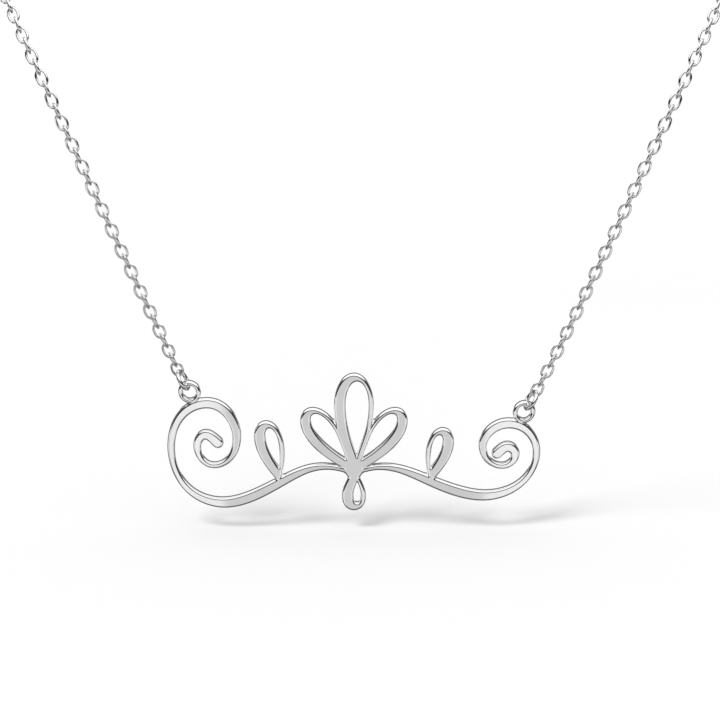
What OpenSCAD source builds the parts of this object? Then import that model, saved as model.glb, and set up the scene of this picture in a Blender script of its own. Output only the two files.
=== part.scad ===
// Plate necklace: a pierced flourish plate hung between two lengths of fine cable chain,
// joined at the nape by a spring ring. Millimetres, +Z up, the front faces -Y.
// The origin is the middle of the spring ring, where the loop sits on the back of the neck.

/* [Plate] */
// Width of the flourish, between the middle lines of its two scrolls
plate_w = 46.4; // [44:0.2:50]
// Height of the flourish, from the drop's foot to the top of the tall leaf
plate_h = 17.8; // [16:0.2:20]
// Thickness of the plate
plate_t = 1.1; // [0.8:0.1:1.6]
// Width of the broad strokes
broad_w = 1.45; // [1.2:0.05:1.6]
// Width of the hairline strokes
hair_w = 0.65; // [0.5:0.05:0.8]
// Diameter of the knot that joins the fan, the drop and the stem
knot_d = 2.2; // [2:0.1:2.6]
// Half width of the flat middle of the plate
flat_half = 15; // [12:0.5:18]
// Radius to which the two ends bend back
end_bend_r = 28; // [24:1:60]
// Height of the eyelets' mean level as a share of the plate's height
eye_level = 0.785; // [0.76:0.005:0.81]

/* [Eyelets and jump rings] */
// Diameter of the hole in each soldered eyelet
eyelet_hole_d = 1.64; // [1.5:0.02:1.8]
// Width of the eyelet's rim
eyelet_rim = 0.62; // [0.5:0.02:0.7]
// Depth of the eyelet's rim, front to back
eyelet_depth = 0.94; // [0.8:0.02:1]
// Outer diameter of the jump rings
jump_ring_d = 2.9; // [2.8:0.05:3.2]
// Wire diameter of the jump rings
jump_ring_wire = 0.5; // [0.4:0.02:0.56]

/* [Chain] */
// Length of a link
link_l = 2.18; // [2.16:0.02:2.4]
// Width of a link
link_w = 1.58; // [1.5:0.02:1.8]
// Wire diameter of a link
link_wire = 0.3; // [0.26:0.01:0.32]
// Roll of every second link away from square to its neighbours, degrees
link_roll = 28; // [0:1:30]

/* [Clasp] */
// Outer diameter of the spring ring
spring_ring_d = 5.5; // [5:0.1:7]
// Tube diameter of the spring ring
spring_ring_tube = 1.1; // [0.9:0.05:1.3]
// Outer diameter of the small eye on the spring ring
clasp_eye_d = 1.9; // [1.8:0.05:2.4]
// Outer diameter of the plain ring that the spring ring closes on
end_ring_d = 3.4; // [3.2:0.1:4.4]
// Wire diameter of the small eye and of the plain ring
clasp_wire = 0.5; // [0.4:0.02:0.6]

/* [Hidden] */
silver = [0.80, 0.81, 0.82];

// Free space between pieces that hang in each other
clear = 0.13;
// How far soldered pieces run into each other
solder = 0.25;
// The plate's middle below the nape, in front of it, and off the chain's middle
plate_drop = 88;
plate_ahead = 86;
plate_shift = -1.2;
// How far out the jump rings lean from the line to the route's first point, degrees
ring_lean = 7;
// Turn of the slide's nub round the spring ring, up from the right
nub_turn = 50;
// Smoothness: facets round a ring, round a wire and round the bend's circle,
// and polygon steps to each row of the stem and to each leaf
ring_fn = 64;
wire_fn = 32;
bend_fn = 180;
stem_steps = 6;
leaf_steps = 32;

// Column names of the stem's rows: share of the half width, share of the height,
// share of the way from a hairline to a broad stroke
stem_rows = [
    [-0.735, 0.500, 1.0], [-0.805, 0.590, 0.8], [-0.870, 0.470, 0.4], [-0.800, 0.300, 0.1],
    [-0.650, 0.360, 0.2], [-0.610, 0.600, 0.7], [-0.730, 0.830, 1.0], [-0.940, 0.745, 0.7],
    [-1.020, 0.430, 0.3], [-0.930, 0.120, 0.4], [-0.690, 0.015, 1.0], [-0.450, 0.165, 1.0],
    [-0.255, 0.325, 0.5], [-0.100, 0.330, 0.1], [0.000, 0.270, 0.1], [0.100, 0.330, 0.1],
    [0.255, 0.320, 0.5], [0.465, 0.180, 1.0], [0.700, 0.080, 1.0], [0.920, 0.160, 0.4],
    [1.020, 0.390, 0.3], [0.945, 0.612, 0.6], [0.790, 0.662, 1.0], [0.680, 0.530, 0.6],
    [0.705, 0.360, 0.2], [0.830, 0.300, 0.2], [0.895, 0.410, 0.6], [0.830, 0.490, 0.9],
    [0.775, 0.420, 1.0]];
// Column names of the leaves' rows: foot across, foot up, length, breadth, lean, broad side.
// Lengths are shares as above, breadths are shares of the height, and 1 is a broad left side.
leaf_rows = [
    [0.00, 0.27, 0.735, 0.280, 0, 1],
    [0.00, 0.27, 0.580, 0.235, -36, 1],
    [0.00, 0.27, 0.580, 0.235, 36, -1],
    [0.00, 0.31, 0.310, 0.170, 180, -1],
    [-0.40, 0.20, 0.470, 0.200, -14, 1],
    [0.41, 0.20, 0.420, 0.185, 15, -1]];
// A leaf's widest half breadth as a share of its breadth, by its outline's formula
leaf_fullness = 0.65;
// Height of the knot's middle as a share of the plate's height
knot_up = 0.295;
// Where the eyelets sit on the stem, in rows counted from its first one
left_eye_row = 6.6;
right_eye_row = 21.35;

// Route of one side of the chain, from above the plate round to the nape: x, y, z
chain_route = [
    [24.2, -86.2, -81], [29, -88.6, -69], [34.4, -91, -55.2], [39.6, -89, -43.8],
    [45.3, -81.2, -33.5], [51.3, -68, -22.5], [54.3, -51.5, -15.5], [50.5, -35.8, -11],
    [42.9, -22, -7.2], [33.6, -10.9, -4.2], [23.4, -3.4, -1.6], [13, 0, 0]];
// The links' faces look away from a line inside the loop, this far ahead of the nape,
// and turn to the sides by this share of a full turn with the loop
neck_ahead = 45;
face_turn = 0.2;

function unit(v) = v / norm(v);
function row_at(rows, i) =
    i < 0 ? 2 * rows[0] - rows[1] :
    i >= len(rows) ? 2 * rows[len(rows) - 1] - rows[len(rows) - 2] : rows[i];
// Point of a uniform cubic B-spline, u rows from its first row
function spline_at(rows, u) =
    let (i = min(floor(u), len(rows) - 2), t = u - i)
    [pow(1 - t, 3), 3 * pow(t, 3) - 6 * t * t + 4, -3 * pow(t, 3) + 3 * t * t + 3 * t + 1, pow(t, 3)]
    * [for (k = [-1:2]) row_at(rows, i + k)] / 6;

// The stem in millimetres: x, height above the eyelets' level, stroke width
stem = [for (r = stem_rows)
    [r[0] * plate_w / 2, (r[1] - eye_level) * plate_h, hair_w + (broad_w - hair_w) * r[2]]];
stem_path = [for (i = [0:stem_steps * (len(stem) - 1)]) spline_at(stem, i / stem_steps)];
function heading(path, i) =
    let (a = path[max(i - 1, 0)], b = path[min(i + 1, len(path) - 1)]) unit([b[0] - a[0], b[1] - a[1]]);
function beside(path, i, side) =
    let (h = heading(path, i), w = side * path[i][2] / 2) [path[i][0] - h[1] * w, path[i][1] + h[0] * w];

// How far the plate's middle surface lies behind its flat middle, and the turn of its face
function bend_past(x) = max(abs(x) - flat_half, 0);
function bend_back(x) = end_bend_r - sqrt(pow(end_bend_r, 2) - pow(bend_past(x), 2));
function bend_turn(x) = sign(x) * asin(bend_past(x) / end_bend_r);

// Middle of the eyelet that sits on the stem at a row, on its outer side, in the plate's frame
eyelet_r = eyelet_hole_d / 2 + eyelet_rim;
function eyelet_xz(row) =
    let (near = 0.05, p = spline_at(stem, row),
         a = spline_at(stem, row - near), b = spline_at(stem, row + near),
         h = unit([b[0] - a[0], b[1] - a[1]]), side = h[0] < 0 ? -1 : 1,
         reach = p[2] / 2 + eyelet_r - solder)
    [p[0] - side * h[1] * reach, p[1] + side * h[0] * reach];
function eyelet_place(row) =
    let (e = eyelet_xz(row)) [e[0] + plate_shift, bend_back(e[0]) - plate_ahead, e[1] - plate_drop];
function eyelet_axis(row) = let (a = bend_turn(eyelet_xz(row)[0])) [sin(a), -cos(a), 0];

// The chain pulls each jump ring outwards and up, square to its eyelet's hole
function side_row(side) = side < 0 ? left_eye_row : right_eye_row;
function route_point(i, side) = [side * chain_route[i][0], chain_route[i][1], chain_route[i][2]];
function pull(side) =
    let (row = side_row(side), hole = eyelet_axis(row), v = route_point(0, side) - eyelet_place(row),
         straight = unit(v - hole * (v * hole)))
    straight * cos(ring_lean) + cross(straight, hole) * side * sin(ring_lean);
jump_ring_r = (jump_ring_d - jump_ring_wire) / 2;
jump_ring_lift = eyelet_hole_d / 2 - clear - jump_ring_wire / 2 + jump_ring_r;
function jump_ring_place(side) = eyelet_place(side_row(side)) + pull(side) * jump_ring_lift;
function ring_top(side) = jump_ring_place(side) + pull(side) * jump_ring_r;
// Distance from the middle of a wire to the middle of the link that hangs on it
function link_reach(wire) = link_l / 2 - link_wire - clear - wire / 2;
// The first link hangs on the jump ring's top and points along the chain's route
function first_link(side) =
    ring_top(side) + unit(route_point(0, side) - ring_top(side)) * link_reach(jump_ring_wire);

// Clasp: the spring ring's middle is the origin, its eye is on the left, the plain ring on the right
spring_ring_r = (spring_ring_d - spring_ring_tube) / 2;
clasp_eye_r = (clasp_eye_d - clasp_wire) / 2;
end_ring_r = (end_ring_d - clasp_wire) / 2;
clasp_eye_x = -(spring_ring_d / 2 + clasp_eye_d / 2 - solder - clasp_wire / 2);
end_ring_x = spring_ring_d / 2 - spring_ring_tube - clear - clasp_wire / 2 + end_ring_r;
last_link = [[clasp_eye_x - clasp_eye_r - link_reach(clasp_wire), 0, 0],
             [end_ring_x + end_ring_r + link_reach(clasp_wire), 0, 0]];

// Stations along the middle line of one side's chain
route_steps = 10;
function route(side) = concat([first_link(side)], [for (i = [0:len(chain_route) - 1]) route_point(i, side)],
                              [last_link[side < 0 ? 0 : 1]]);
function route_path(side) = let (r = route(side)) [for (i = [0:route_steps * (len(r) - 1)])
    spline_at(r, i / route_steps)];
function run(path) = [for (i = 0, s = 0; i < len(path);
    s = s + (i + 1 < len(path) ? norm(path[i + 1] - path[i]) : 0), i = i + 1) s];
link_pitch = link_l - 2 * link_wire - clear;
// An even number of pitches leaves the first and the last link the same way round
function pitches(length) = 2 * ceil(length / (2 * link_pitch));

module at(place, along, across) {
    normal = cross(along, across);
    multmatrix([[along[0], across[0], normal[0], place[0]], [along[1], across[1], normal[1], place[1]],
                [along[2], across[2], normal[2], place[2]], [0, 0, 0, 1]]) children();
}

module wire_ring(r, wire) rotate_extrude($fn = ring_fn) translate([r, 0]) circle(d = wire, $fn = wire_fn);

// Half a ring of wire, standing ahead of its ends along x
module wire_bow(r, wire)
    rotate([0, 0, -90]) rotate_extrude(angle = 180, $fn = ring_fn)
        translate([r, 0]) circle(d = wire, $fn = wire_fn);

// An oval link: two half rings and the two short straights between them
module link() {
    bow_r = (link_w - link_wire) / 2;
    straight = link_l - link_w;
    for (flip = [0, 180]) rotate([0, 0, flip]) {
        translate([straight / 2, 0, 0]) wire_bow(bow_r, link_wire);
        translate([-straight / 2, bow_r, 0]) rotate([0, 90, 0])
            cylinder(d = link_wire, h = straight, $fn = wire_fn);
    }
}

// One side of the chain: every second link is turned to hang in its neighbours
module chain(side) {
    path = route_path(side);
    s = run(path);
    table = [for (axis = [0:2]) [for (i = [0:len(path) - 1]) [s[i], path[i][axis]]]];
    length = s[len(s) - 1];
    count = pitches(length);
    step = length / count;
    for (k = [0:count]) {
        p = [for (axis = [0:2]) lookup(k * step, table[axis])];
        ahead = [for (axis = [0:2]) lookup(min((k + 0.5) * step, length), table[axis])];
        behind = [for (axis = [0:2]) lookup(max((k - 0.5) * step, 0), table[axis])];
        along = unit(ahead - behind);
        out = [p[0] * face_turn, p[1] + neck_ahead, 0];
        face = unit(out - along * (out * along));
        at(p, along, cross(face, along)) rotate([k % 2 == 0 ? 0 : 90 - side * link_roll, 0, 0]) link();
    }
}

// Teardrop outline with its point at the origin
function tear(length, breadth) = [for (i = [0:leaf_steps - 1]) let (t = 360 * i / leaf_steps)
    [breadth * leaf_fullness * sin(t) * sin(t / 2), length * (1 - cos(t)) / 2]];

// A pierced leaf: its rim is broad on one side and fine on the other
module leaf(length, breadth, broad_side) {
    mean_w = (broad_w + hair_w) / 2;
    rise = mean_w / sin(atan(2 * leaf_fullness * breadth / length));
    difference() {
        polygon(tear(length, breadth));
        translate([broad_side * (broad_w - hair_w) / 2, rise])
            polygon(tear(length - rise - mean_w, breadth - broad_w - hair_w));
    }
}

module flourish() {
    last = len(stem_path) - 1;
    polygon(concat([for (i = [0:last]) beside(stem_path, i, 1)],
                   [for (i = [last:-1:0]) beside(stem_path, i, -1)]));
    for (i = [0, last]) translate([stem_path[i][0], stem_path[i][1]])
        circle(d = stem_path[i][2], $fn = wire_fn);
    translate([0, (knot_up - eye_level) * plate_h]) circle(d = knot_d, $fn = wire_fn);
    for (r = leaf_rows)
        translate([r[0] * plate_w / 2, (r[1] - eye_level) * plate_h]) rotate(-r[4])
            leaf(r[2] * plate_h, r[3] * plate_h, r[5]);
}

// Plan of the bent sheet: a flat middle and two ends that curve back
module sheet_plan() {
    end_x = plate_w / 2 + eyelet_r;
    square([2 * flat_half, plate_t], center = true);
    for (side = [0, 1]) mirror([side, 0]) intersection() {
        translate([flat_half, end_bend_r]) difference() {
            circle(r = end_bend_r + plate_t / 2, $fn = bend_fn);
            circle(r = end_bend_r - plate_t / 2, $fn = bend_fn);
        }
        translate([flat_half, -plate_t]) square([end_x - flat_half, end_bend_r / 2]);
    }
}

// Places its children on the plate's middle surface where an eyelet sits, with z along its hole
module at_eyelet(row) {
    e = eyelet_xz(row);
    translate([e[0], bend_back(e[0]), e[1]]) rotate([0, 0, bend_turn(e[0])]) rotate([90, 0, 0]) children();
}

module eyelet() {
    round_r = eyelet_rim / 2;
    straight = eyelet_depth / 2 - round_r;
    rotate_extrude($fn = ring_fn) translate([eyelet_hole_d / 2 + round_r, 0]) {
        square([eyelet_rim, 2 * straight], center = true);
        for (end = [-1, 1]) translate([0, end * straight]) circle(r = round_r, $fn = wire_fn);
    }
}

module nameplate() {
    eye_rows = [left_eye_row, right_eye_row];
    bore_r = eyelet_hole_d / 2 + eyelet_rim / 4;
    color(silver) translate([plate_shift, -plate_ahead, -plate_drop]) {
        difference() {
            intersection() {
                rotate([90, 0, 0]) linear_extrude(2 * end_bend_r, center = true) flourish();
                translate([0, 0, -plate_h]) linear_extrude(2 * plate_h) sheet_plan();
            }
            for (row = eye_rows) at_eyelet(row)
                cylinder(r = bore_r, h = 2 * plate_t, center = true, $fn = ring_fn);
        }
        for (row = eye_rows) at_eyelet(row) eyelet();
    }
}

// A ring in the plane of the pull and the eyelet's hole
module jump_ring(side)
    color(silver) at(jump_ring_place(side), pull(side), eyelet_axis(side_row(side)))
        wire_ring(jump_ring_r, jump_ring_wire);
module jump_ring_left() jump_ring(-1);
module jump_ring_right() jump_ring(1);

module chain_left() color(silver) chain(-1);
module chain_right() color(silver) chain(1);

// A closed spring ring with its small eye and the nub of its slide, as one plain piece
module spring_ring() {
    color(silver) {
        rotate([90, 0, 0]) wire_ring(spring_ring_r, spring_ring_tube);
        translate([clasp_eye_x, 0, 0]) wire_ring(clasp_eye_r, clasp_wire);
        rotate([0, -nub_turn, 0]) translate([spring_ring_d / 2, 0, 0]) sphere(d = clasp_wire, $fn = wire_fn);
    }
}

module end_ring() color(silver) translate([end_ring_x, 0, 0]) wire_ring(end_ring_r, clasp_wire);

nameplate();
jump_ring_left();
jump_ring_right();
chain_left();
chain_right();
spring_ring();
end_ring();
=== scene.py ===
"""Plate necklace in polished silver: a pierced flourish plate on a fine cable chain.

Every new surface is worked out with numpy in millimetres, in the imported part's own frame
(x to the right, y to the back, z up, the origin at the nape), and turned to metres as it
becomes a mesh. Each piece stands for the CAD node whose name it carries.
"""

import math

import bpy
import numpy as np
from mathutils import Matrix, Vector
from mathutils.geometry import delaunay_2d_cdt


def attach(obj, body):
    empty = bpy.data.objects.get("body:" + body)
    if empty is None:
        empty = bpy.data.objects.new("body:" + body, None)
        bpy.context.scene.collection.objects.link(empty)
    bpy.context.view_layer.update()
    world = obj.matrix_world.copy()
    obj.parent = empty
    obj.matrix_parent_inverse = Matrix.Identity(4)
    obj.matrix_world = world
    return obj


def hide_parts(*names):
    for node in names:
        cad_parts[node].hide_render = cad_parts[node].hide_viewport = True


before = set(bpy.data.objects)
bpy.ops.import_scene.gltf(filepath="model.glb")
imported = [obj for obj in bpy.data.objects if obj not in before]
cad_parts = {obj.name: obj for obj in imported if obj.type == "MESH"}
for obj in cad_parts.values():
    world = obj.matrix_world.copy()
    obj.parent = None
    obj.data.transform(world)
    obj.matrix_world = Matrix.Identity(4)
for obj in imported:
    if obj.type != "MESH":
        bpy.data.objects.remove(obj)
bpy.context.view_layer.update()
MM = 0.001
scene = bpy.context.scene

# Camera
PX_PER_MM = 8.0
FRAME_PX = 720
CAMERA_RISE = math.radians(15)
CAMERA_DISTANCE = 285.0
SENSOR = 36.0
CAMERA_CLIP = (0.01, 10)
MID_LINE_PX = 363.5
EYE_LEVEL_PX = 401.75
EYE_LEVEL_PLACE = Vector((0, -85.3, -88.0))


def add_camera():
    """Looks down at CAMERA_RISE along +y. The picture's middle is the eyelets' level moved
    by its distance from the middle of the frame in pixels, over the pixels in a millimetre."""
    ahead = Vector((0, math.cos(CAMERA_RISE), -math.sin(CAMERA_RISE)))
    up = Vector((0, math.sin(CAMERA_RISE), math.cos(CAMERA_RISE)))
    half = FRAME_PX / 2
    target = EYE_LEVEL_PLACE + up * (EYE_LEVEL_PX - half) / PX_PER_MM
    target.x = (half - MID_LINE_PX) / PX_PER_MM
    data = bpy.data.cameras.new("camera")
    data.sensor_width = SENSOR
    data.lens = SENSOR * CAMERA_DISTANCE * PX_PER_MM / FRAME_PX
    data.clip_start, data.clip_end = CAMERA_CLIP
    camera = bpy.data.objects.new("camera", data)
    camera.location = (target - ahead * CAMERA_DISTANCE) * MM
    camera.rotation_euler = ahead.to_track_quat("-Z", "Y").to_euler()
    scene.collection.objects.link(camera)
    scene.camera = camera


add_camera()

# Sizes in millimetres, the same as the part's own
PLATE_W, PLATE_H, PLATE_T = 46.4, 17.8, 1.1
BROAD_W, HAIR_W = 1.45, 0.65
KNOT_D, KNOT_UP = 2.2, 0.295
FLAT_HALF, END_BEND_R, EYE_LEVEL = 15.0, 28.0, 0.785
EYELET_HOLE_D, EYELET_RIM = 1.64, 0.62
JUMP_RING_D, JUMP_RING_WIRE = 2.9, 0.5
LINK_L, LINK_W, LINK_WIRE, LINK_ROLL = 2.18, 1.58, 0.3, 28.0
SPRING_RING_D, SPRING_RING_TUBE = 5.5, 1.1
CLASP_EYE_D, END_RING_D, CLASP_WIRE = 1.9, 3.4, 0.5
CLEAR, SOLDER, NUB_TURN = 0.13, 0.25, 50.0
PLATE_PLACE = np.array([-1.2, -86.0, -88.0])
NECK_AHEAD, FACE_TURN = 45.0, 0.2
RING_LEAN = math.radians(7)

# The stem's rows: share of the half width, share of the height, share from hairline to broad
STEM_ROWS = np.array([
    [-0.735, 0.500, 1.0], [-0.805, 0.590, 0.8], [-0.870, 0.470, 0.4], [-0.800, 0.300, 0.1],
    [-0.650, 0.360, 0.2], [-0.610, 0.600, 0.7], [-0.730, 0.830, 1.0], [-0.940, 0.745, 0.7],
    [-1.020, 0.430, 0.3], [-0.930, 0.120, 0.4], [-0.690, 0.015, 1.0], [-0.450, 0.165, 1.0],
    [-0.255, 0.325, 0.5], [-0.100, 0.330, 0.1], [0.000, 0.270, 0.1], [0.100, 0.330, 0.1],
    [0.255, 0.320, 0.5], [0.465, 0.180, 1.0], [0.700, 0.080, 1.0], [0.920, 0.160, 0.4],
    [1.020, 0.390, 0.3], [0.945, 0.612, 0.6], [0.790, 0.662, 1.0], [0.680, 0.530, 0.6],
    [0.705, 0.360, 0.2], [0.830, 0.300, 0.2], [0.895, 0.410, 0.6], [0.830, 0.490, 0.9],
    [0.775, 0.420, 1.0]])
# The leaves' rows: foot across, foot up, length, breadth, lean, broad side
LEAF_ROWS = np.array([
    [0.00, 0.27, 0.735, 0.280, 0, 1], [0.00, 0.27, 0.580, 0.235, -36, 1],
    [0.00, 0.27, 0.580, 0.235, 36, -1], [0.00, 0.31, 0.310, 0.170, 180, -1],
    [-0.40, 0.20, 0.470, 0.200, -14, 1], [0.41, 0.20, 0.420, 0.185, 15, -1]])
LEAF_FULLNESS = 0.65
EYE_ROWS = (6.6, 21.35)
CHAIN_ROUTE = np.array([
    [24.2, -86.2, -81], [29, -88.6, -69], [34.4, -91, -55.2], [39.6, -89, -43.8],
    [45.3, -81.2, -33.5], [51.3, -68, -22.5], [54.3, -51.5, -15.5], [50.5, -35.8, -11],
    [42.9, -22, -7.2], [33.6, -10.9, -4.2], [23.4, -3.4, -1.6], [13, 0, 0]])


def unit(v):
    """Vectors along the last axis, each divided by its length."""
    return v / np.linalg.norm(v, axis=-1, keepdims=True)


def spline(rows, u):
    """Points of a uniform cubic B-spline at u rows from its first row. The rows before the
    first and after the last are mirrored through them, so the curve starts and ends there."""
    padded = np.vstack([2 * rows[0] - rows[1], rows, 2 * rows[-1] - rows[-2]])
    u = np.atleast_1d(u)
    i = np.minimum(u.astype(int), len(rows) - 2)
    t = (u - i)[:, None]
    weights = ((1 - t) ** 3, 3 * t ** 3 - 6 * t ** 2 + 4,
               -3 * t ** 3 + 3 * t ** 2 + 3 * t + 1, t ** 3)
    return sum(w * padded[i + k] for k, w in enumerate(weights)) / 6


def skin(rings, joined):
    """Faces over a grid of rings, shape (rings, points, 3). The points go round each ring. The
    rings are joined last to first, or each end is closed with a fan about its middle point."""
    n, m = rings.shape[:2]
    ids = np.arange(n * m).reshape(n, m)
    low = ids if joined else ids[:-1]
    high = np.roll(ids, -1, axis=0) if joined else ids[1:]
    quads = np.stack([low, np.roll(low, -1, 1), np.roll(high, -1, 1), high], -1).reshape(-1, 4)
    points, faces = rings.reshape(-1, 3), quads.tolist()
    if not joined:
        points = np.vstack([points, rings[0].mean(0), rings[-1].mean(0)])
        first, last = ids[0], ids[-1]
        hub = n * m
        faces += np.stack([np.roll(first, -1), first, np.full(m, hub)], -1).tolist()
        faces += np.stack([last, np.roll(last, -1), np.full(m, hub + 1)], -1).tolist()
    return points, faces


def gather(parts):
    """One list of points and one of faces from several skins."""
    starts = np.cumsum([0] + [len(points) for points, _ in parts])
    faces = [[i + int(s) for i in f] for (_, fs), s in zip(parts, starts) for f in fs]
    return np.vstack([points for points, _ in parts]), faces


def add_piece(node, body, skins, material, normals=None):
    """Makes the mesh of a piece from points in millimetres and puts it in the place of its node."""
    points, faces = skins
    mesh = bpy.data.meshes.new(node + "_look")
    mesh.from_pydata((points * MM).tolist(), [], faces)
    mesh.shade_smooth()
    if normals is not None:
        mesh.normals_split_custom_set_from_vertices(normals.tolist())
    mesh.materials.append(material)
    piece = bpy.data.objects.new(node + "_look", mesh)
    scene.collection.objects.link(piece)
    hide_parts(node)
    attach(piece, body)


# Materials. Noise scales are per metre, and depths are in metres
DARK_SHARE = 0.93
NOISE_SPAN = (0.3, 0.7)
DRIFT_SCALE, POLISH_SCALE, WAVE_SCALE, SCRATCH_SCALE = 260, 700, 420, 2400
SCRATCH_STRETCH, SCRATCH_TURN = (1, 1, 0.06), 0.5
WAVE_DEPTH, SCRATCH_DEPTH = 0.00002, 0.000002


def silver(name, tint, rough, rough_spread, wave, grain):
    """Polished silver: a slow drift of tone and polish, a faint waviness left by the buffing
    wheel, and hairline scratches stretched along one direction."""
    material = bpy.data.materials.new(name)
    material.use_nodes = True
    tree = material.node_tree
    nodes, links = tree.nodes, tree.links
    shader = nodes["Principled BSDF"]
    shader.inputs["Metallic"].default_value = 1.0
    place = nodes.new("ShaderNodeTexCoord")

    def noise(scale, detail, stretch=(1, 1, 1), turn=0.0):
        """Noise from 0 to 1 over the piece, stretched and turned about y."""
        mapping = nodes.new("ShaderNodeMapping")
        mapping.inputs["Scale"].default_value = stretch
        mapping.inputs["Rotation"].default_value = (0, turn, 0)
        texture = nodes.new("ShaderNodeTexNoise")
        texture.inputs["Scale"].default_value = scale
        texture.inputs["Detail"].default_value = detail
        links.new(place.outputs["Object"], mapping.inputs["Vector"])
        links.new(mapping.outputs["Vector"], texture.inputs["Vector"])
        return texture.outputs["Fac"]

    def spread(value, low, high):
        """The middle of the noise, where nearly all of it lies, carried from low to high."""
        reach = nodes.new("ShaderNodeMapRange")
        reach.inputs["From Min"].default_value = NOISE_SPAN[0]
        reach.inputs["From Max"].default_value = NOISE_SPAN[1]
        reach.inputs["To Min"].default_value = low
        reach.inputs["To Max"].default_value = high
        links.new(value, reach.inputs["Value"])
        return reach.outputs["Result"]

    tone = nodes.new("ShaderNodeMix")
    tone.data_type = "RGBA"
    tone.inputs["A"].default_value = (*[c * DARK_SHARE for c in tint], 1)
    tone.inputs["B"].default_value = (*tint, 1)
    links.new(spread(noise(DRIFT_SCALE, detail=3), 0, 1), tone.inputs["Factor"])
    links.new(tone.outputs["Result"], shader.inputs["Base Color"])
    scratches = noise(SCRATCH_SCALE, detail=2, stretch=SCRATCH_STRETCH, turn=SCRATCH_TURN)
    haze = spread(noise(POLISH_SCALE, detail=4), rough - rough_spread, rough + rough_spread)
    polish = nodes.new("ShaderNodeMath")
    polish.operation = "ADD"
    links.new(haze, polish.inputs[0])
    links.new(spread(scratches, 0, rough_spread), polish.inputs[1])
    links.new(polish.outputs[0], shader.inputs["Roughness"])
    swell = nodes.new("ShaderNodeBump")
    swell.inputs["Strength"].default_value = wave
    swell.inputs["Distance"].default_value = WAVE_DEPTH
    links.new(noise(WAVE_SCALE, detail=1), swell.inputs["Height"])
    lines = nodes.new("ShaderNodeBump")
    lines.inputs["Strength"].default_value = grain
    lines.inputs["Distance"].default_value = SCRATCH_DEPTH
    links.new(scratches, lines.inputs["Height"])
    links.new(swell.outputs["Normal"], lines.inputs["Normal"])
    links.new(lines.outputs["Normal"], shader.inputs["Normal"])
    return material


plate_silver = silver("plate_silver", (0.93, 0.93, 0.935),
                      rough=0.07, rough_spread=0.03, wave=0.12, grain=0.3)
ring_silver = silver("ring_silver", (0.88, 0.88, 0.885),
                     rough=0.07, rough_spread=0.03, wave=0.2, grain=0.4)
chain_silver = silver("chain_silver", (0.93, 0.93, 0.935),
                      rough=0.06, rough_spread=0.03, wave=0.3, grain=0.4)

# The plate. Its plan is a field: how deep a point lies inside the strokes, in millimetres
EDGE_IN, EDGE_DOWN = 0.32, 0.36
EDGE_TURNS = np.radians([90, 74, 58, 42, 28, 14, 0])
# How wide a crotch's filling is, and how near a point must be for a shape to matter to it
CROTCH, FAR = 0.35, 1.0
# Rows of the stem in one run, points along a run, and points round a teardrop
RUN_ROWS, RUN_POINTS, TEAR_POINTS = 2, 25, 96
# The grid that the field is read on, and the looser one that fills the flat
GRID, SIDE_MARGIN, TOP_MARGIN = 0.1, 4, 3
FLAT_STRIDE, FLAT_CLEAR = 5, 0.12
# How near to a grid point a line may cross, and how far a point may step to reach its level
CROSS_LOW, CROSS_HIGH = 0.15, 0.85
LEVEL_STEPS, LEAST_SLOPE, MOST_STEP = 2, 0.3, 0.04
WELD = 1e-5


def stroke_depth(p, path):
    """Half the stroke's width at the nearest point of the path, less the distance to it."""
    a, ab = path[:-1, :2], np.diff(path[:, :2], axis=0)
    from_a = p[:, None] - a
    t = np.clip((from_a * ab).sum(-1) / (ab * ab).sum(-1), 0, 1)
    away = np.linalg.norm(from_a - t[..., None] * ab, axis=-1)
    return ((path[:-1, 2] + t * np.diff(path[:, 2])) / 2 - away).max(1)


def outline_depth(p, outline):
    """Distance to the nearest side of a closed outline, positive inside it. A point is inside
    where a level ray to its right crosses an odd number of sides."""
    a, b = outline, np.roll(outline, -1, axis=0)
    ab, from_a = b - a, p[:, None] - a
    t = np.clip((from_a * ab).sum(-1) / (ab * ab).sum(-1), 0, 1)
    away = np.linalg.norm(from_a - t[..., None] * ab, axis=-1).min(1)
    spans = (a[:, 1] > p[:, None, 1]) != (b[:, 1] > p[:, None, 1])
    rise = np.where(ab[:, 1] == 0, 1, ab[:, 1])
    right = p[:, None, 0] < a[:, 0] + from_a[..., 1] * ab[:, 0] / rise
    return np.where((spans & right).sum(1) % 2 == 1, away, -away)


def tear(length, breadth):
    """A teardrop with its point at the origin: x is the breadth by the fullness by
    sin(t) sin(t / 2), and z is the length by (1 - cos t) / 2, as t goes once round."""
    t = np.linspace(0, 2 * np.pi, TEAR_POINTS, endpoint=False)
    x = breadth * LEAF_FULLNESS * np.sin(t) * np.sin(t / 2)
    return np.stack([x, length * (1 - np.cos(t)) / 2], 1)


def stem_path(u):
    """The stem's middle line in millimetres, with its width."""
    rows = STEM_ROWS * [PLATE_W / 2, PLATE_H, BROAD_W - HAIR_W] + [0, -EYE_LEVEL * PLATE_H, HAIR_W]
    return spline(rows, u)


def eyelet_xz(row):
    """Middle of the eyelet beside the stem at a row, on its outer side."""
    before, p, after = stem_path(np.array([row - 0.05, row, row + 0.05]))
    h = unit(after[:2] - before[:2])
    side = -1 if h[0] < 0 else 1
    away = p[2] / 2 + EYELET_HOLE_D / 2 + EYELET_RIM - SOLDER
    return p[:2] + side * np.array([-h[1], h[0]]) * away


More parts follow.
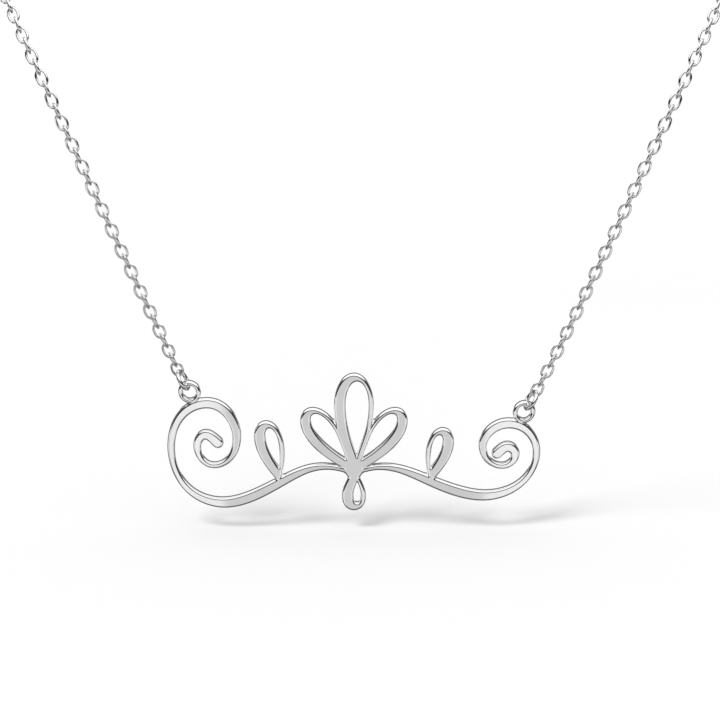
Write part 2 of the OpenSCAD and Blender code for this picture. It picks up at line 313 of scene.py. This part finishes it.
def leaf_outlines():
    """The outer and the inner teardrop of each leaf, leaned about its foot."""
    mean_w = (BROAD_W + HAIR_W) / 2
    for across, up, length, breadth, lean, broad_side in LEAF_ROWS:
        long, broad = length * PLATE_H, breadth * PLATE_H
        rise = mean_w / math.sin(math.atan(2 * LEAF_FULLNESS * broad / long))
        shift = [broad_side * (BROAD_W - HAIR_W) / 2, rise]
        inner = tear(long - rise - mean_w, broad - BROAD_W - HAIR_W) + shift
        c, s = math.cos(math.radians(lean)), math.sin(math.radians(lean))
        foot = [across * PLATE_W / 2, (up - EYE_LEVEL) * PLATE_H]
        yield [q @ np.array([[c, -s], [s, c]]) + foot for q in (tear(long, broad), inner)]


def near(p, points, work):
    """Runs work on the points that are close to a shape, and leaves -FAR elsewhere."""
    close = np.all((p > points.min(0) - FAR) & (p < points.max(0) + FAR), axis=1)
    depth = np.full(len(p), -FAR)
    if close.any():
        depth[close] = work(p[close])
    return depth


def blend_union(a, b):
    """The larger of two depths, rounded where they are equal, as solder fills a crotch."""
    h = np.clip(0.5 + 0.5 * (a - b) / CROTCH, 0, 1)
    return b + (a - b) * h + CROTCH * h * (1 - h)


STEM_RUNS = [stem_path(np.linspace(i, i + RUN_ROWS, RUN_POINTS))
             for i in range(0, len(STEM_ROWS) - 1, RUN_ROWS)]
LEAVES = list(leaf_outlines())
KNOT = np.array([0, (KNOT_UP - EYE_LEVEL) * PLATE_H])
EYES = [eyelet_xz(row) for row in EYE_ROWS]


def plate_depth(p):
    """Depth inside the whole flourish: the stem's runs, the pierced leaves, the knot and the
    eyelets' rims are joined, and the eyelets' holes are taken out."""
    depth = np.full(len(p), -FAR)
    for run in STEM_RUNS:
        depth = np.maximum(depth, near(p, run[:, :2], lambda q: stroke_depth(q, run)))
    for outer, inner in LEAVES:
        leaf = near(p, outer, lambda q: np.minimum(outline_depth(q, outer),
                                                   -outline_depth(q, inner)))
        depth = blend_union(depth, leaf)
    depth = blend_union(depth, KNOT_D / 2 - np.linalg.norm(p - KNOT, axis=1))
    for eye in EYES:
        away = np.linalg.norm(p - eye, axis=1)
        rim = EYELET_RIM / 2 - np.abs(away - EYELET_HOLE_D / 2 - EYELET_RIM / 2)
        depth = np.minimum(blend_union(depth, rim), away - EYELET_HOLE_D / 2)
    return depth


def slope(p, step=0.01):
    """Change of the depth across and up, by central differences."""
    moves = np.array([[step, 0], [-step, 0], [0, step], [0, -step]])
    d = plate_depth((p[None] + moves[:, None]).reshape(-1, 2)).reshape(4, -1)
    return np.stack([d[0] - d[1], d[2] - d[3]], 1) / (2 * step)


def level_line(field, xs, zs, level):
    """Points and edges of the line where the field has a level: each side of a grid cell
    that the line crosses holds a point, and each cell joins the points on its sides."""
    s = field - level
    inside = s > 0

    def share(low, high):
        """Where along a grid cell's side the line crosses it."""
        return np.clip(low / np.where(low == high, 1, low - high), CROSS_LOW, CROSS_HIGH)

    flat_cross = inside[:, :-1] != inside[:, 1:]
    tall_cross = inside[:-1] != inside[1:]
    x, z = np.meshgrid(xs, zs)
    across = np.stack([x[:, :-1] + share(s[:, :-1], s[:, 1:]) * GRID, z[:, :-1]], -1).reshape(-1, 2)
    up = np.stack([x[:-1], z[:-1] + share(s[:-1], s[1:]) * GRID], -1).reshape(-1, 2)
    flat_id = np.arange(flat_cross.size).reshape(flat_cross.shape)
    tall_id = flat_cross.size + np.arange(tall_cross.size).reshape(tall_cross.shape)
    crossed = np.stack([flat_cross[:-1], tall_cross[:, 1:], flat_cross[1:], tall_cross[:, :-1]], -1)
    ids = np.stack([flat_id[:-1], tall_id[:, 1:], flat_id[1:], tall_id[:, :-1]], -1)
    count = crossed.sum(-1)
    two = count == 2
    edges = [ids[two][crossed[two]].reshape(-1, 2)]
    middle = (s[:-1, :-1] + s[:-1, 1:] + s[1:, :-1] + s[1:, 1:]) > 0
    apart = (count == 4) & (inside[:-1, :-1] == middle)
    joined = (count == 4) & (inside[:-1, :-1] != middle)
    edges += [ids[apart][:, [0, 1]], ids[apart][:, [2, 3]],
              ids[joined][:, [0, 3]], ids[joined][:, [1, 2]]]
    edges = np.vstack(edges)
    used, edges = np.unique(edges, return_inverse=True)
    p = np.vstack([across, up])[used]
    for _ in range(LEVEL_STEPS):
        g = slope(p)
        off = (plate_depth(p) - level) / np.maximum((g * g).sum(1), LEAST_SLOPE)
        p = p - np.clip(off, -MOST_STEP, MOST_STEP)[:, None] * g
    return p, edges.reshape(-1, 2)


def bend(x, side):
    """How far back a face of the sheet lies, and the tangent of its turn. Beyond the flat
    middle a face is an arc of the bend's radius, half a thickness larger or smaller."""
    past = np.maximum(np.abs(x) - FLAT_HALF, 0)
    r = END_BEND_R - side * PLATE_T / 2
    reach = np.sqrt(r * r - past * past)
    return END_BEND_R - reach, np.sign(x) * past / reach


def plate_plan():
    """The flourish's plan as triangles: points, triangles, and each point's depth. The
    rounded edge has a ring of points at each of its turns, and the flat a loose field."""
    xs = np.arange(-PLATE_W / 2 - SIDE_MARGIN, PLATE_W / 2 + SIDE_MARGIN, GRID)
    zs = np.arange(-EYE_LEVEL * PLATE_H - TOP_MARGIN, (1 - EYE_LEVEL) * PLATE_H + TOP_MARGIN, GRID)
    x, z = np.meshgrid(xs, zs)
    field = plate_depth(np.stack([x.ravel(), z.ravel()], 1)).reshape(x.shape)
    lines = [level_line(field, xs, zs, EDGE_IN * (1 - math.sin(turn))) for turn in EDGE_TURNS]
    coarse = (slice(None, None, FLAT_STRIDE), slice(None, None, FLAT_STRIDE))
    flat = field[coarse] > EDGE_IN + FLAT_CLEAR
    inner = np.stack([x[coarse][flat], z[coarse][flat]], 1)
    starts = np.cumsum([0] + [len(p) for p, _ in lines])
    points = np.vstack([p for p, _ in lines] + [inner])
    edges = np.vstack([e + s for (_, e), s in zip(lines, starts)])
    depth = np.repeat(EDGE_IN * (1 - np.sin(EDGE_TURNS)), np.diff(starts))
    depth = np.concatenate([depth, np.full(len(inner), EDGE_IN)])
    made = delaunay_2d_cdt([Vector(q) for q in points.tolist()], edges.tolist(), [], 0, WELD)
    p = np.array([tuple(v) for v in made[0]])
    tris = np.array(made[2])
    known = np.array([v[0] if v else -1 for v in made[3]])
    level = np.where(known >= 0, depth[known], np.clip(plate_depth(p), 0, EDGE_IN))
    tris = tris[plate_depth(p[tris].mean(1)) > 0]
    used, tris = np.unique(tris, return_inverse=True)
    return p[used], tris.reshape(-1, 3), level[used]


def plate_skin():
    """The plate as a closed sheet: the plan at the front, pushed back along a quarter of an
    ellipse towards its rim, the same at the back, and a wall between the two rims."""
    p, tris, level = plate_plan()
    a, b, c = p[tris].transpose(1, 0, 2)
    area = (b - a)[:, 0] * (c - a)[:, 1] - (b - a)[:, 1] * (c - a)[:, 0]
    tris = np.where((area > 0)[:, None], tris, tris[:, ::-1])
    out = -unit(slope(p) + 1e-9)
    lean = np.arcsin(np.clip(1 - level / EDGE_IN, 0, 1))
    tilt = np.arctan2(EDGE_DOWN * np.sin(lean), EDGE_IN * np.cos(lean))
    drop = EDGE_DOWN * (1 - np.cos(lean))
    sheets, normals = [], []
    for side in (-1, 1):
        back, turn = bend(p[:, 0], side)
        sheets.append(np.stack([p[:, 0], back - side * drop, p[:, 1]], 1))
        normals.append(unit(np.stack([out[:, 0] * np.sin(tilt) - side * turn * np.cos(tilt),
                                      side * np.cos(tilt), out[:, 1] * np.sin(tilt)], 1)))
    sides = np.vstack([tris[:, [0, 1]], tris[:, [1, 2]], tris[:, [2, 0]]])
    _, where, count = np.unique(np.sort(sides, axis=1), axis=0,
                                return_index=True, return_counts=True)
    rim = sides[where[count == 1]]
    n = len(p)
    wall = np.stack([rim[:, 1], rim[:, 0], rim[:, 0] + n, rim[:, 1] + n], 1)
    faces = tris.tolist() + (tris[:, ::-1] + n).tolist() + wall.tolist()
    return (np.vstack(sheets) + PLATE_PLACE, faces), np.vstack(normals)


plate, plate_normals = plate_skin()
add_piece("nameplate", "pendant", plate, plate_silver, plate_normals)

# Where the rings and links hang, by the same steps as the part's own
JUMP_RING_R = (JUMP_RING_D - JUMP_RING_WIRE) / 2


def eyelet_place(row):
    """Middle of an eyelet, on the bent sheet's middle surface, and its hole's direction."""
    e = eyelet_xz(row)
    past = max(abs(e[0]) - FLAT_HALF, 0)
    turn = math.copysign(math.asin(past / END_BEND_R), e[0])
    place = np.array([e[0], END_BEND_R * (1 - math.cos(turn)), e[1]]) + PLATE_PLACE
    return place, np.array([math.sin(turn), -math.cos(turn), 0])


def link_reach(wire):
    """From the middle of a wire to the middle of the link that hangs on it."""
    return LINK_L / 2 - LINK_WIRE - CLEAR - wire / 2


def hang(side):
    """One side's pull, outwards and square to the eyelet's hole, the hole's direction, the jump
    ring's middle, and the middle of the first link, which points along the chain's route."""
    place, hole = eyelet_place(EYE_ROWS[0 if side < 0 else 1])
    start = CHAIN_ROUTE[0] * [side, 1, 1]
    straight = unit(start - place - hole * ((start - place) @ hole))
    pull = straight * math.cos(RING_LEAN) + side * np.cross(straight, hole) * math.sin(RING_LEAN)
    ring = place + pull * (EYELET_HOLE_D / 2 - CLEAR - JUMP_RING_WIRE / 2 + JUMP_RING_R)
    top = ring + pull * JUMP_RING_R
    return pull, hole, ring, top + unit(start - top) * link_reach(JUMP_RING_WIRE)


# Wire rings. A seam is the small turn left open between a wire's cut ends
SEAM = 0.02
JUMP_SEAM_TURN, END_SEAM_TURN = 1.9, 0.9
# A cut end's rounded corner: its length as a share of the wire's width, steps over that
# length, and the wire's girth at each step
CUT_ROUND = 0.05
CUT_TURNS = np.array([0, 0, 0.3, 1.0])
CUT_GIRTHS = np.array([0.4, 0.86, 0.97, 1])


def wire_ring(middle, along, across, r, wire, start=0.0, gap=0.0, around=20, steps=72):
    """A tube carried round a circle: the middle, plus (r + w cos v) times the direction at u,
    plus w sin v times the normal. With a gap, the wire's two cut ends face each other there,
    their corners rounded off by shrinking w over the last little turn."""
    normal = np.cross(along, across)
    cut = CUT_ROUND * wire / r
    if gap:
        ends = CUT_TURNS * cut
        u = np.concatenate([ends, np.linspace(3 * cut, 2 * np.pi - gap - 3 * cut, steps),
                            2 * np.pi - gap - ends[::-1]]) + start + gap / 2
        w = np.concatenate([CUT_GIRTHS, np.ones(steps), CUT_GIRTHS[::-1]]) * wire / 2
    else:
        u = np.linspace(0, 2 * np.pi, steps, endpoint=False) + start
        w = np.full(steps, wire / 2)
    v = np.linspace(0, 2 * np.pi, around, endpoint=False)
    u, w, v = u[:, None, None], w[:, None, None], v[None, :, None]
    out = np.cos(u) * along + np.sin(u) * across
    return skin(middle + (r + w * np.cos(v)) * out - w * np.sin(v) * normal, not gap)


for name, side in (("jump_ring_left", -1), ("jump_ring_right", 1)):
    pull, hole, middle, _ = hang(side)
    skins = wire_ring(middle, pull, hole, JUMP_RING_R, JUMP_RING_WIRE,
                      start=side * JUMP_SEAM_TURN, gap=SEAM)
    add_piece(name, "pendant", skins, ring_silver)

# The clasp at the nape
X, Y, Z = np.eye(3)
SPRING_R = (SPRING_RING_D - SPRING_RING_TUBE) / 2
CLASP_EYE_X = -(SPRING_RING_D / 2 + CLASP_EYE_D / 2 - SOLDER - CLASP_WIRE / 2)
END_RING_R = (END_RING_D - CLASP_WIRE) / 2
END_RING_X = SPRING_RING_D / 2 - SPRING_RING_TUBE - CLEAR - CLASP_WIRE / 2 + END_RING_R
# The tongue closes the mouth, and a collar is rolled at each end of the housing tube. Turns
# are in radians, and girths are shares of the tube's width
TONGUE_HALF, TONGUE_D = math.radians(26), 0.78
TONGUE_IN, TONGUE_STEPS = 0.05, 24
HOUSING_GIRTH, HOUSING_STEPS = 0.98, 80
COLLAR_TURNS = np.array([0, 0, 0.02, 0.05, 0.1, 0.13])
COLLAR_GIRTHS = np.array([0.72, 1.0, 1.08, 1.08, 1.08, 1.0])
TUBE_START = 0.16
# The thumb lever and the small eye's solder: places along their own lines, and radii there
LEVER_FOOT = SPRING_RING_D / 2 - 0.06
LEVER_PLACES = np.array([0, 0.1, 0.18, 0.24, 0.34, 0.42, 0.47, 0.49])
LEVER_RADII = np.array([0.24, 0.16, 0.15, 0.24, 0.27, 0.24, 0.15, 0.06])
SOLDER_PLACES = np.linspace(-SPRING_RING_D / 2 + 0.14, -SPRING_RING_D / 2 - 0.1, 5)
SOLDER_RADII = np.array([0.16, 0.34, 0.40, 0.34, 0.16])


def arc_tube(r, turns, widths, around=28):
    """A tube carried round part of a circle about y, its width following a list of turns."""
    v = np.linspace(0, 2 * np.pi, around, endpoint=False)[None, :, None]
    u, w = turns[:, None, None], widths[:, None, None] / 2
    out = np.cos(u) * X + np.sin(u) * Z
    return skin((r + w * np.cos(v)) * out + w * np.sin(v) * Y, False)


def turned_post(along, across, beside, places, radii, around=20):
    """A turned piece: the place times its line, plus the radius there times the direction at
    v, which goes round from across towards beside."""
    v = np.linspace(0, 2 * np.pi, around, endpoint=False)[None, :, None]
    s, r = places[:, None, None], radii[:, None, None]
    return skin(s * along + r * (np.cos(v) * across + np.sin(v) * beside), False)


def housing():
    """The housing tube, round all but the mouth, with the collars at its two ends."""
    tube = np.linspace(TONGUE_HALF + TUBE_START, 2 * np.pi - TONGUE_HALF - TUBE_START, HOUSING_STEPS)
    collar = TONGUE_HALF + COLLAR_TURNS
    turns = np.concatenate([collar, tube, 2 * np.pi - collar[::-1]])
    girths = np.concatenate([COLLAR_GIRTHS, np.full(HOUSING_STEPS, HOUSING_GIRTH),
                             COLLAR_GIRTHS[::-1]])
    return arc_tube(SPRING_R, turns, girths * SPRING_RING_TUBE)


def tongue():
    """The thinner tongue across the mouth, with both its ends inside the collars."""
    half = TONGUE_HALF + TONGUE_IN
    return arc_tube(SPRING_R, np.linspace(-half, half, TONGUE_STEPS),
                    np.full(TONGUE_STEPS, TONGUE_D))


def lever():
    """The thumb lever on its post, at its turn round the ring."""
    turn = math.radians(NUB_TURN)
    out = math.cos(turn) * X + math.sin(turn) * Z
    return turned_post(out, np.cross(out, Y), Y, LEVER_FOOT + LEVER_PLACES, LEVER_RADII)


def clasp_eye():
    """The small eye that holds the chain."""
    return wire_ring(CLASP_EYE_X * X, X, Y, (CLASP_EYE_D - CLASP_WIRE) / 2, CLASP_WIRE, steps=48)


def eye_solder():
    """The bead of solder between the housing and the small eye."""
    return turned_post(X, Y, -Z, SOLDER_PLACES, SOLDER_RADII)


spring_ring = gather([housing(), tongue(), lever(), clasp_eye(), eye_solder()])
add_piece("spring_ring", "loop", spring_ring, ring_silver)
end_ring = wire_ring(END_RING_X * X, X, Y, END_RING_R, CLASP_WIRE, start=END_SEAM_TURN, gap=SEAM)
add_piece("end_ring", "loop", end_ring, ring_silver)

# The chains
LINK_STEPS, LINK_SIDES = 16, 6
LINK_SQUARENESS = 2.35
HEXAGON_FULLNESS = 1.1
ROUTE_SAMPLES = 10


def link_cage():
    """One link about the origin, long way along x: a superellipse carried as the middle line
    of a six-sided wire, whose corners stand out so that it is as full as a round one."""
    t = np.linspace(0, 2 * np.pi, LINK_STEPS, endpoint=False)
    half_l, half_w = (LINK_L - LINK_WIRE) / 2, (LINK_W - LINK_WIRE) / 2
    c, s = np.cos(t), np.sin(t)
    x = half_l * np.sign(c) * np.abs(c) ** (2 / LINK_SQUARENESS)
    y = half_w * np.sign(s) * np.abs(s) ** (2 / LINK_SQUARENESS)
    line = np.stack([x, y, 0 * x], 1)
    heading = unit(np.roll(line, -1, 0) - np.roll(line, 1, 0))
    outward = np.stack([heading[:, 1], -heading[:, 0], 0 * x], 1)
    v = np.linspace(0, 2 * np.pi, LINK_SIDES, endpoint=False)[None, :, None]
    w = LINK_WIRE / 2 * HEXAGON_FULLNESS
    return line[:, None] + w * (np.cos(v) * outward[:, None] - np.sin(v) * Z)


def chain_frames(side):
    """Each link's middle and its three directions. The middles lie at even steps along the
    route; a link points along it, and its face looks away from a line inside the loop."""
    _, _, _, first = hang(side)
    eye_end = CLASP_EYE_X - (CLASP_EYE_D - CLASP_WIRE) / 2 - link_reach(CLASP_WIRE)
    ring_end = END_RING_X + END_RING_R + link_reach(CLASP_WIRE)
    last = np.array([eye_end if side < 0 else ring_end, 0, 0])
    route = np.vstack([first, CHAIN_ROUTE * [side, 1, 1], last])
    path = spline(route, np.arange(ROUTE_SAMPLES * (len(route) - 1) + 1) / ROUTE_SAMPLES)
    run = np.concatenate([[0], np.cumsum(np.linalg.norm(np.diff(path, axis=0), axis=1))])
    pitch = LINK_L - 2 * LINK_WIRE - CLEAR
    count = 2 * math.ceil(run[-1] / (2 * pitch))
    step = run[-1] / count
    k = np.arange(count + 1)

    def at(s):
        """Points at distances along the route."""
        s = np.clip(s, 0, run[-1])
        return np.stack([np.interp(s, run, path[:, axis]) for axis in range(3)], 1)

    along = unit(at((k + 0.5) * step) - at((k - 0.5) * step))
    middle = at(k * step)
    out = np.stack([middle[:, 0] * FACE_TURN, middle[:, 1] + NECK_AHEAD, 0 * k], 1)
    face = unit(out - along * (out * along).sum(1, keepdims=True))
    across = np.cross(face, along)
    roll = np.radians(np.where(k % 2 == 0, 0, 90 - side * LINK_ROLL))[:, None]
    normal = np.cross(along, across)
    turned = across * np.cos(roll) + normal * np.sin(roll)
    return middle, along, turned, np.cross(along, turned)


def chain_skin(side):
    """Every link at once: the cage's three coordinates times each link's three directions."""
    middle, along, across, normal = chain_frames(side)
    cage = link_cage()
    points, faces = skin(cage, True)
    x, y, z = np.split(points[None], 3, axis=2)
    placed = middle[:, None] + (x * along[:, None] + y * across[:, None] + z * normal[:, None])
    starts = np.arange(len(middle))[:, None, None] * len(points)
    return placed.reshape(-1, 3), (np.array(faces)[None] + starts).reshape(-1, 4).tolist()


for name, side in (("chain_left", -1), ("chain_right", 1)):
    add_piece(name, "loop", chain_skin(side), chain_silver)

# Stage: a pale floor just under the drop, a soft key light, and a studio seen in the metal
FLOOR_Z, FLOOR_HALF, FLOOR_TONE = -104.5, 3000.0, 0.9
KEY_ALONG, KEY_SPREAD, KEY_STRENGTH = (0.45, 0.4, -0.8), 22, 1.35
# The studio as (share, level) stops of a direction. For a card the share goes from 0 straight
# ahead or behind to 1 at the side, for the room and a card's rise from 0 straight down to 1
# straight up, and for the start of the rear from 0 at the side to 1 straight behind
FRONT_CARD = ((0.1, 0.56), (0.19, 0.78), (0.72, 0.78), (0.78, 0.12), (0.86, 0.12), (0.92, 1))
REAR_CARD = ((0.12, 0.3), (0.24, 0.9), (0.42, 1), (0.52, 0.1))
FRONT_ROOM = ((0.14, 0.1), (0.22, 0.0), (0.43, 0.0), (0.46, 0.02), (0.7, 0.02), (0.78, 1))
REAR_ROOM = ((0.18, 0.1), (0.26, 0.0), (0.43, 0.0), (0.47, 0.14), (0.7, 0.14), (0.77, 1))
FRONT_CARD_RISE = ((0.14, 0), (0.22, 1), (0.43, 1), (0.46, 0))
REAR_CARD_RISE = ((0.18, 0), (0.26, 1), (0.43, 1), (0.47, 0))
REAR_START = ((0.0, 0), (0.12, 1))
STUDIO_GAIN, FLOOR_LIGHT = 1.2, 0.76


def add_floor():
    """A wide level floor that takes the necklace's shadow and isn't seen in the metal."""
    size, place = FLOOR_HALF * MM, FLOOR_Z * MM
    corners = [(-size, -size, place), (size, -size, place), (size, size, place), (-size, size, place)]
    mesh = bpy.data.meshes.new("floor")
    mesh.from_pydata(corners, [], [(0, 1, 2, 3)])
    material = bpy.data.materials.new("floor_white")
    material.use_nodes = True
    shader = material.node_tree.nodes["Principled BSDF"]
    shader.inputs["Base Color"].default_value = (FLOOR_TONE, FLOOR_TONE, FLOOR_TONE, 1)
    shader.inputs["Roughness"].default_value = 0.9
    shader.inputs["Specular IOR Level"].default_value = 0.0
    mesh.materials.append(material)
    floor = bpy.data.objects.new("floor", mesh)
    scene.collection.objects.link(floor)
    floor.visible_glossy = False


def add_sun(name, along, spread, strength):
    """Parallel light as from a far softbox that spreads over an angle in degrees."""
    data = bpy.data.lights.new(name, "SUN")
    data.angle, data.energy = math.radians(spread), strength
    light = bpy.data.objects.new(name, data)
    light.rotation_euler = Vector(along).to_track_quat("-Z", "Y").to_euler()
    light.visible_glossy = False
    scene.collection.objects.link(light)


def add_studio():
    """What the metal mirrors, by direction. Overhead is a white box. Below the level a mid-grey
    card stands straight ahead, with pale walls to both sides of it, a dark slit past them and
    white at the far sides. A dark band lies between box and card, and the ground is dark.
    Behind, the card is darker, the white beside it narrower, and the far sides are dark. The
    camera sees plain white, and the floor is lit evenly."""
    world = bpy.data.worlds.new("studio")
    scene.world = world
    world.use_nodes = True
    tree = world.node_tree
    nodes, links = tree.nodes, tree.links
    nodes.clear()
    place = nodes.new("ShaderNodeTexCoord")
    parts = nodes.new("ShaderNodeSeparateXYZ")
    links.new(place.outputs["Generated"], parts.inputs[0])
    x, y, z = parts.outputs

    def math_node(operation, a, *numbers):
        """One Math node on a value, with plain numbers at its other inputs."""
        node = nodes.new("ShaderNodeMath")
        node.operation = operation
        links.new(a, node.inputs[0])
        for socket, number in zip(node.inputs[1:], numbers):
            socket.default_value = number
        return node.outputs[0]

    def bands(value, stops):
        """Brightness by a value from 0 to 1: linear between the stops."""
        node = nodes.new("ShaderNodeValToRGB")
        ramp = node.color_ramp
        ramp.elements[0].position, ramp.elements[1].position = stops[0][0], stops[-1][0]
        for position, _ in stops[1:-1]:
            ramp.elements.new(position)
        for element, (_, level) in zip(ramp.elements, stops):
            element.color = (level, level, level, 1)
        links.new(value, node.inputs["Fac"])
        return node.outputs["Color"]

    def mix(share, a, b):
        """From a to b by a share, where a and b are values or plain numbers."""
        blend = nodes.new("ShaderNodeMix")
        blend.data_type = "FLOAT"
        links.new(share, blend.inputs["Factor"])
        for key, value in (("A", a), ("B", b)):
            if isinstance(value, float):
                blend.inputs[key].default_value = value
            else:
                links.new(value, blend.inputs[key])
        return blend.outputs["Result"]

    sideways = math_node("ABSOLUTE", x)
    height = math_node("MULTIPLY_ADD", z, 0.5, 0.5)
    rear = bands(y, REAR_START)
    cards = mix(rear, bands(sideways, FRONT_CARD), bands(sideways, REAR_CARD))
    room = mix(rear, bands(height, FRONT_ROOM), bands(height, REAR_ROOM))
    is_card = mix(rear, bands(height, FRONT_CARD_RISE), bands(height, REAR_CARD_RISE))
    mirrored = math_node("MULTIPLY", mix(is_card, room, cards), STUDIO_GAIN)
    seen = nodes.new("ShaderNodeLightPath")
    lit = mix(seen.outputs["Is Diffuse Ray"], mirrored, FLOOR_LIGHT)
    shown = mix(seen.outputs["Is Camera Ray"], lit, 1.0)
    back = nodes.new("ShaderNodeBackground")
    links.new(shown, back.inputs["Color"])
    out = nodes.new("ShaderNodeOutputWorld")
    links.new(back.outputs[0], out.inputs["Surface"])


add_floor()
add_sun("key", KEY_ALONG, KEY_SPREAD, KEY_STRENGTH)
add_studio()
scene.view_settings.view_transform = "Standard"
scene.view_settings.look = "None"
